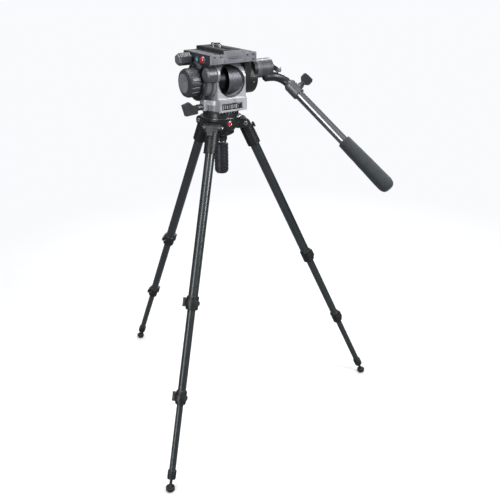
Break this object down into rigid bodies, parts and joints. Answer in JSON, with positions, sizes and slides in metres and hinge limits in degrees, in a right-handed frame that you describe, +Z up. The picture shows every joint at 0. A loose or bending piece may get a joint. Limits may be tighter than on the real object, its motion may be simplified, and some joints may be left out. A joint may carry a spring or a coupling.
{
  "type": "video tripod with fluid head",
  "caption": "Three-leg telescoping carbon tripod with a bowl crown, levelling half ball, pan and tilt fluid head, sliding camera plate and a side pan bar with foam grip.",
  "frame": {"origin": "root of the large camera screw, level with the plate's rubber face, on the pan axis", "axes": "+Z up along the camera screw, +Y the way the lens looks, +X the operator's right, along the tilt axis"},
  "size_m": [0.8459, 0.852, 1.1163],
  "materials": {
    "cast_black": "satin black powder coat",
    "head_grey": "satin metallic grey paint",
    "head_dark": "satin dark grey paint",
    "plate_grey": "bead-blasted hard anodised",
    "steel": "brushed",
    "carbon": "lacquered carbon weave",
    "black_nylon": "fine moulded grain",
    "knob_grey": "soft-touch",
    "bar_gunmetal": "polished anodised",
    "foam": "closed-cell foam",
    "rubber": "matt",
    "red": "glossy",
    "vial": "clear"
  },
  "bodies": {
    "crown": {"crown": "cast_black", "hinge_pins": "steel"},
    "leg_left": {"shoulder_left": "black_nylon", "upper_tube_left": "carbon", "upper_collar_left": "black_nylon"},
    "latch_left": {"angle_latch_left": "black_nylon"},
    "upper_lock_left": {"upper_lever_left": "black_nylon"},
    "middle_left": {"middle_tube_left": "carbon", "lower_collar_left": "black_nylon"},
    "lower_lock_left": {"lower_lever_left": "black_nylon"},
    "lower_left": {"lower_tube_left": "carbon", "ankle_left": "black_nylon"},
    "foot_left": {"foot_left": "rubber"},
    "leg_right": {"shoulder_right": "black_nylon", "upper_tube_right": "carbon", "upper_collar_right": "black_nylon"},
    "latch_right": {"angle_latch_right": "black_nylon"},
    "upper_lock_right": {"upper_lever_right": "black_nylon"},
    "middle_right": {"middle_tube_right": "carbon", "lower_collar_right": "black_nylon"},
    "lower_lock_right": {"lower_lever_right": "black_nylon"},
    "lower_right": {"lower_tube_right": "carbon", "ankle_right": "black_nylon"},
    "foot_right": {"foot_right": "rubber"},
    "leg_front": {"shoulder_front": "black_nylon", "upper_tube_front": "carbon", "upper_collar_front": "black_nylon"},
    "latch_front": {"angle_latch_front": "black_nylon"},
    "upper_lock_front": {"upper_lever_front": "black_nylon"},
    "middle_front": {"middle_tube_front": "carbon", "lower_collar_front": "black_nylon"},
    "lower_lock_front": {"lower_lever_front": "black_nylon"},
    "lower_front": {"lower_tube_front": "carbon", "ankle_front": "black_nylon"},
    "foot_front": {"foot_front": "rubber"},
    "washer": {"clamp_washer": "cast_black"},
    "ball": {"half_ball": "head_dark", "ball_stud": "steel", "pan_base": "head_grey"},
    "tie_down": {"tie_down_handle": "head_dark"},
    "drag_dial": {"pan_drag_dial": "black_nylon"},
    "pan": {"yoke": "head_grey"},
    "pan_lock": {"pan_lock_wing": "knob_grey"},
    "tilt": {"tilt_drum": "head_grey", "cradle": "head_grey", "right_arm": "cast_black", "balance_ring": "cast_black", "bubble_level": "vial"},
    "balance": {"balance_knob": "knob_grey"},
    "tilt_drag": {"tilt_drag_knob": "knob_grey"},
    "plate_lock": {"plate_lock_lever": "knob_grey"},
    "button": {"safety_button": "red"},
    "plate": {"slide_plate": "plate_grey", "plate_rubber": "rubber", "camera_screws": "steel"},
    "bar": {"bar_arm": "cast_black"},
    "rosette_lock": {"rosette_lever": "knob_grey"},
    "bar_lock": {"bar_knob": "knob_grey"},
    "bar_tube": {"bar_tube": "bar_gunmetal", "foam_grip": "foam"}
  },
  "joints": [
    {"name": "leg_spread_left", "type": "hinge", "parent": "crown", "child": "leg_left", "pos_m": [-0.05056, -0.04242, -0.205], "axis": [-0.6428, 0.766, 0], "range_deg": [-23, 45]},
    {"name": "latch_pull_left", "type": "slide", "parent": "leg_left", "child": "latch_left", "axis": [-0.6943, -0.5826, 0.4226], "range_m": [0, 0.004], "stiffness_N_per_m": 300},
    {"name": "upper_lock_turn_left", "type": "hinge", "parent": "leg_left", "child": "upper_lock_left", "pos_m": [-0.22106, -0.15547, -0.64093], "axis": [-0.3237, -0.2717, -0.9063], "range_deg": [0, 110]},
    {"name": "middle_slide_left", "type": "slide", "parent": "leg_left", "child": "middle_left", "axis": [-0.3237, -0.2717, -0.9063], "range_m": [-0.205, 0.11]},
    {"name": "lower_lock_turn_left", "type": "hinge", "parent": "middle_left", "child": "lower_lock_left", "pos_m": [-0.30298, -0.22747, -0.87476], "axis": [-0.3237, -0.2717, -0.9063], "range_deg": [0, 110]},
    {"name": "lower_slide_left", "type": "slide", "parent": "middle_left", "child": "lower_left", "axis": [-0.3237, -0.2717, -0.9063], "range_m": [-0.165, 0.09]},
    {"name": "foot_swivel_left", "type": "hinge", "parent": "lower_left", "child": "foot_left", "pos_m": [-0.36912, -0.30973, -1.09681], "axis": [0.6428, -0.766, 0], "range_deg": [-25, 20]},
    {"name": "leg_spread_right", "type": "hinge", "parent": "crown", "child": "leg_right", "pos_m": [0.06202, -0.02257, -0.205], "axis": [-0.342, -0.9397, 0], "range_deg": [-23, 45]},
    {"name": "latch_pull_right", "type": "slide", "parent": "leg_right", "child": "latch_right", "axis": [0.8517, -0.31, 0.4226], "range_m": [0, 0.004], "stiffness_N_per_m": 300},
    {"name": "upper_lock_turn_right", "type": "hinge", "parent": "leg_right", "child": "upper_lock_right", "pos_m": [0.24517, -0.11371, -0.64093], "axis": [0.3971, -0.1445, -0.9063], "range_deg": [0, 110]},
    {"name": "middle_slide_right", "type": "slide", "parent": "leg_right", "child": "middle_right", "axis": [0.3971, -0.1445, -0.9063], "range_m": [-0.205, 0.11]},
    {"name": "lower_lock_turn_right", "type": "hinge", "parent": "middle_right", "child": "lower_lock_right", "pos_m": [0.34849, -0.14866, -0.87476], "axis": [0.3971, -0.1445, -0.9063], "range_deg": [0, 110]},
    {"name": "lower_slide_right", "type": "slide", "parent": "middle_right", "child": "lower_right", "axis": [0.3971, -0.1445, -0.9063], "range_m": [-0.165, 0.09]},
    {"name": "foot_swivel_right", "type": "hinge", "parent": "lower_right", "child": "foot_right", "pos_m": [0.4528, -0.16481, -1.09681], "axis": [0.342, 0.9397, 0], "range_deg": [-25, 20]},
    {"name": "leg_spread_front", "type": "hinge", "parent": "crown", "child": "leg_front", "pos_m": [-0.01146, 0.065, -0.205], "axis": [0.9848, 0.1736, 0], "range_deg": [-23, 45]},
    {"name": "latch_pull_front", "type": "slide", "parent": "leg_front", "child": "latch_front", "axis": [-0.1574, 0.8925, 0.4226], "range_m": [0, 0.004], "stiffness_N_per_m": 300},
    {"name": "upper_lock_turn_front", "type": "hinge", "parent": "leg_front", "child": "upper_lock_front", "pos_m": [-0.02411, 0.26918, -0.64093], "axis": [-0.0734, 0.4162, -0.9063], "range_deg": [0, 110]},
    {"name": "middle_slide_front", "type": "slide", "parent": "leg_front", "child": "middle_front", "axis": [-0.0734, 0.4162, -0.9063], "range_m": [-0.205, 0.11]},
    {"name": "lower_lock_turn_front", "type": "hinge", "parent": "middle_front", "child": "lower_lock_front", "pos_m": [-0.0455, 0.37613, -0.87476], "axis": [-0.0734, 0.4162, -0.9063], "range_deg": [0, 110]},
    {"name": "lower_slide_front", "type": "slide", "parent": "middle_front", "child": "lower_front", "axis": [-0.0734, 0.4162, -0.9063], "range_m": [-0.165, 0.09]},
    {"name": "foot_swivel_front", "type": "hinge", "parent": "lower_front", "child": "foot_front", "pos_m": [-0.08367, 0.47454, -1.09681], "axis": [-0.9848, -0.1736, 0], "range_deg": [-25, 20]},
    {"name": "level_fore_aft", "type": "hinge", "parent": "crown", "child": "washer", "pos_m": [0, 0, -0.181], "axis": [1, 0, 0], "range_deg": [-8.5, 8.5]},
    {"name": "level_side_to_side", "type": "hinge", "parent": "washer", "child": "ball", "pos_m": [0, 0, -0.181], "axis": [0, 1, 0], "range_deg": [-8.5, 8.5]},
    {"name": "tie_down_turn", "type": "hinge", "parent": "ball", "child": "tie_down", "pos_m": [0, 0, -0.181], "axis": [0, 0, -1], "range_deg": [0, 360]},
    {"name": "drag_dial_turn", "type": "hinge", "parent": "ball", "child": "drag_dial", "pos_m": [0, 0, -0.181], "axis": [0, 0, 1], "range_deg": [-45, 45]},
    {"name": "pan_turn", "type": "hinge", "parent": "ball", "child": "pan", "pos_m": [0, 0, -0.181], "axis": [0, 0, 1], "continuous": true},
    {"name": "pan_lock_turn", "type": "hinge", "parent": "pan", "child": "pan_lock", "pos_m": [-0.06, 0, -0.155], "axis": [1, 0, 0], "range_deg": [-40, 40]},
    {"name": "tilt_turn", "type": "hinge", "parent": "pan", "child": "tilt", "pos_m": [0, 0, -0.086], "axis": [1, 0, 0], "range_deg": [-90, 55]},
    {"name": "balance_turn", "type": "hinge", "parent": "tilt", "child": "balance", "pos_m": [0, 0, -0.086], "axis": [1, 0, 0], "continuous": true},
    {"name": "tilt_drag_turn", "type": "hinge", "parent": "tilt", "child": "tilt_drag", "pos_m": [-0.06, -0.044, -0.063], "axis": [1, 0, 0], "range_deg": [-150, 150]},
    {"name": "plate_lock_turn", "type": "hinge", "parent": "tilt", "child": "plate_lock", "pos_m": [-0.08, 0.025, -0.027], "axis": [1, 0, 0], "range_deg": [0, 90]},
    {"name": "button_press", "type": "slide", "parent": "tilt", "child": "button", "axis": [1, 0, 0], "range_m": [0, 0.003], "stiffness_N_per_m": 400},
    {"name": "plate_slide", "type": "slide", "parent": "tilt", "child": "plate", "axis": [0, 1, 0], "range_m": [-0.03, 0.03]},
    {"name": "bar_swing", "type": "hinge", "parent": "tilt", "child": "bar", "pos_m": [0.131, -0.02, -0.063], "axis": [1, 0, 0], "range_deg": [-60, 60]},
    {"name": "rosette_lock_turn", "type": "hinge", "parent": "bar", "child": "rosette_lock", "pos_m": [0.155, -0.02, -0.063], "axis": [1, 0, 0], "range_deg": [-70, 0]},
    {"name": "bar_lock_turn", "type": "hinge", "parent": "bar", "child": "bar_lock", "pos_m": [0.20302, -0.0762, -0.12677], "axis": [0.5455, -0.3908, 0.7414], "range_deg": [-90, 90]},
    {"name": "bar_extend", "type": "slide", "parent": "bar", "child": "bar_tube", "axis": [0.309, -0.7286, -0.6113], "range_m": [0, 0.018]}
  ]
}
